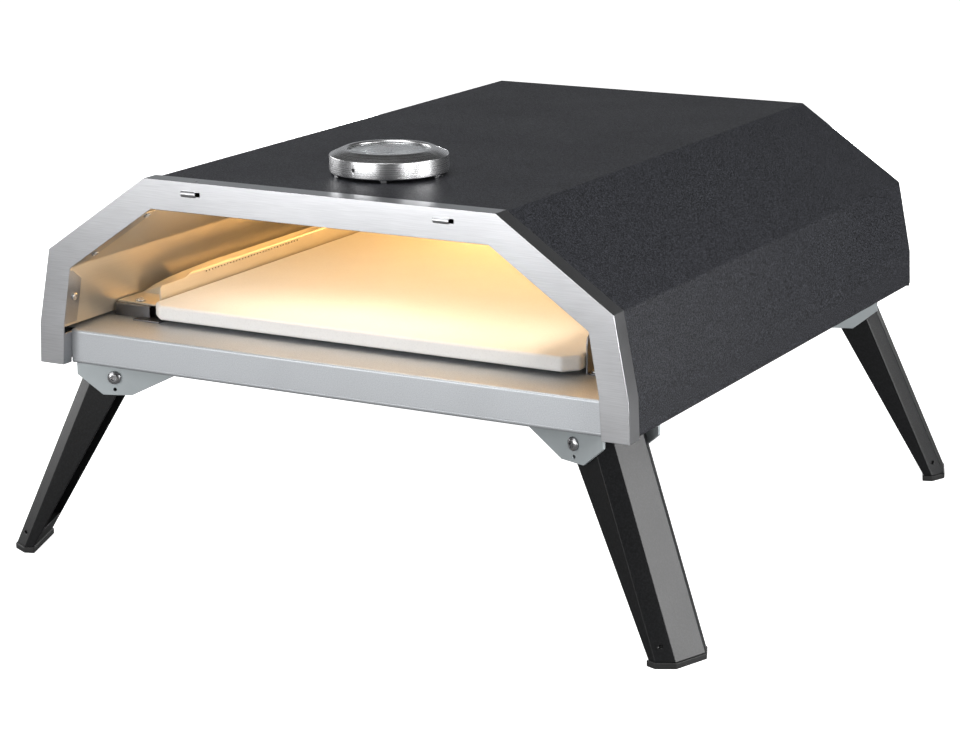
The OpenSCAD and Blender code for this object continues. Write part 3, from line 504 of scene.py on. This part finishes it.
scale = bmesh.new()
for i in range(SCALE_STEPS + 1):
    angle = math.radians(SCALE_START + SCALE_TURN * i / SCALE_STEPS)
    numbered, halfway = i % STEPS_PER_NUMBER == 0, i % (STEPS_PER_NUMBER // 2) == 0
    length, width = LONG_TICK if numbered else HALF_TICK if halfway else SHORT_TICK
    add_box(scale, (TICK_END_R - length / 2, 0, MARK_T / 2), (length, width, MARK_T), angle)
    if numbered:
        spot = (NUMBER_R * math.cos(angle), NUMBER_R * math.sin(angle), MARK_T / 2)
        number = i // STEPS_PER_NUMBER * NUMBER_STEP
        add_number(scale, number, NUMBER_SIZE, Matrix.Translation(Vector(spot) * MM))
dial_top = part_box("thermometer_dial")[1].z + INK_LIFT * MM
dial_middle = Vector((dial_centre.x, dial_centre.y, dial_top))
finished("dial_scale", scale, INK, dial_middle, "oven")

low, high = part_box("control_knob")
knob_end = Vector(((low.x + high.x) / 2, high.y, (low.z + high.z) / 2))
pointer = bmesh.new()
add_box(pointer, POINTER_MIDDLE, POINTER_SIZE)
finished("knob_pointer", pointer, WHITE_INK, knob_end, "knob")


# ---- Knob spring, a smooth-shaded copy of the CAD coil ----

low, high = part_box("return_spring")
spring = bpy.data.objects.new("coil_spring", NODES["return_spring"].data.copy())
shade_smooth(spring.data)
bpy.context.scene.collection.objects.link(spring)
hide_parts("return_spring")
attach(spring, "oven")
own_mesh(spring)


# ---- Floor and light ----

FLOOR_R, FLOOR_SIDES = 14, 96
FLOOR_GREY_UNSEEN, FLOOR_GREY_SEEN = 0.22, 0.8
FLOOR_GLOW = 0.97
WORLD_LIGHT, WORLD_SEEN = 0.06, 1.0


def seen_directly(tree):
    """A socket that is 1 where the camera looks straight at a surface, and 0 for cast light."""
    return tree.nodes.new("ShaderNodeLightPath").outputs["Is Camera Ray"]


def floor_material():
    """A white floor whose soft shadows stay pale, and which throws little light back up."""
    material = bpy.data.materials.new("floor_white")
    material.use_nodes = True
    tree = material.node_tree
    shader = tree.nodes["Principled BSDF"]
    shader.inputs["Roughness"].default_value = 0.8
    shader.inputs["Emission Color"].default_value = (1, 1, 1, 1)
    base = tree.nodes.new("ShaderNodeMix")
    base.data_type = "RGBA"
    base.inputs["A"].default_value = (*[FLOOR_GREY_UNSEEN] * 3, 1)
    base.inputs["B"].default_value = (*[FLOOR_GREY_SEEN] * 3, 1)
    glow = tree.nodes.new("ShaderNodeMath")
    glow.operation = "MULTIPLY"
    glow.inputs[1].default_value = FLOOR_GLOW
    path = seen_directly(tree)
    tree.links.new(path, base.inputs["Factor"])
    tree.links.new(path, glow.inputs[0])
    tree.links.new(base.outputs["Result"], shader.inputs["Base Color"])
    tree.links.new(glow.outputs["Value"], shader.inputs["Emission Strength"])
    return material


floor = bpy.data.objects.new("floor", bpy.data.meshes.new("floor"))
disc = bmesh.new()
bmesh.ops.create_circle(disc, cap_ends=True, segments=FLOOR_SIDES, radius=FLOOR_R)
disc.to_mesh(floor.data)
disc.free()
floor.data.materials.append(floor_material())
bpy.context.scene.collection.objects.link(floor)

world = bpy.data.worlds.new("studio")
bpy.context.scene.world = world
world.use_nodes = True
background = world.node_tree.nodes["Background"]
background.inputs["Color"].default_value = (1, 1, 1, 1)
strength = world.node_tree.nodes.new("ShaderNodeMapRange")
strength.inputs["To Min"].default_value = WORLD_LIGHT
strength.inputs["To Max"].default_value = WORLD_SEEN
world.node_tree.links.new(seen_directly(world.node_tree), strength.inputs["Value"])
world.node_tree.links.new(strength.outputs["Result"], background.inputs["Strength"])


def area_light(name, where, towards, size, power, color=(1, 1, 1), spread=180):
    """A rectangular light in metres and watts, that the camera doesn't see."""
    data = bpy.data.lights.new(name, "AREA")
    data.shape = "RECTANGLE"
    data.size, data.size_y = size
    data.energy = power
    data.color = color
    data.spread = math.radians(spread)
    light = bpy.data.objects.new(name, data)
    light.location = where
    light.visible_camera = False
    light.rotation_mode = "QUATERNION"
    light.rotation_quaternion = (Vector(towards) - Vector(where)).to_track_quat("-Z", "Y")
    bpy.context.scene.collection.objects.link(light)


# Name, place, aim, size, power and colour
STUDIO_LIGHTS = (
    ("front_box", (-0.8, -1.8, 0.8), (0, -0.1, 0.15), (1.2, 1.2), 9.5),
    ("front_low", (-0.5, -1.9, 0.22), (0, -0.1, 0.15), (1.5, 0.4), 10.5),
    ("overhead", (-0.1, -0.55, 1.25), (0, -0.15, 0.25), (0.8, 0.6), 8),
    ("left_box", (-1.6, 0.1, 0.5), (0, 0, 0.15), (1.2, 0.8), 14),
    ("rear_low", (-0.5, 1.6, 0.12), (-0.05, 0.25, 0.16), (1.1, 0.2), 16),
    ("right_box", (1.45, 0.12, 0.47), (0.15, -0.15, 0.1), (0.8, 0.6), 17),
    ("right_near", (1.0, -0.6, 0.28), (0.2, -0.15, 0.15), (0.4, 0.3), 4),
    ("back_low", (-1.2, 3.2, 0.9), (0, 0, 0.2), (3.6, 1.2), 5, (0.93, 0.96, 1)),
)
# The fire's glow, with its places and aims in the body's millimetres, and its spread in degrees
CHAMBER_LIGHTS = (
    ("chamber_roof", (-10, 230, 108), (-10, 230, 30), (0.22, 0.3), 0.05, (1, 0.64, 0.24), 150),
    ("chamber_rear", (10, 392, 70), (10, 100, 70), (0.26, 0.05), 0.29, (1, 0.56, 0.18), 170),
    ("chamber_side", (150, 75, 74), (0, 75, 74), (0.1, 0.03), 0.045, (1, 0.82, 0.58), 130),
    ("chamber_front", (-22, 105, 108), (-22, 105, 30), (0.2, 0.1), 0.32, (1, 0.81, 0.63), 165),
)
for light in STUDIO_LIGHTS:
    area_light(*light)
for name, place, aim, *settings in CHAMBER_LIGHTS:
    area_light(name, at(*place), at(*aim), *settings)

bpy.context.scene.view_settings.view_transform = "Standard"
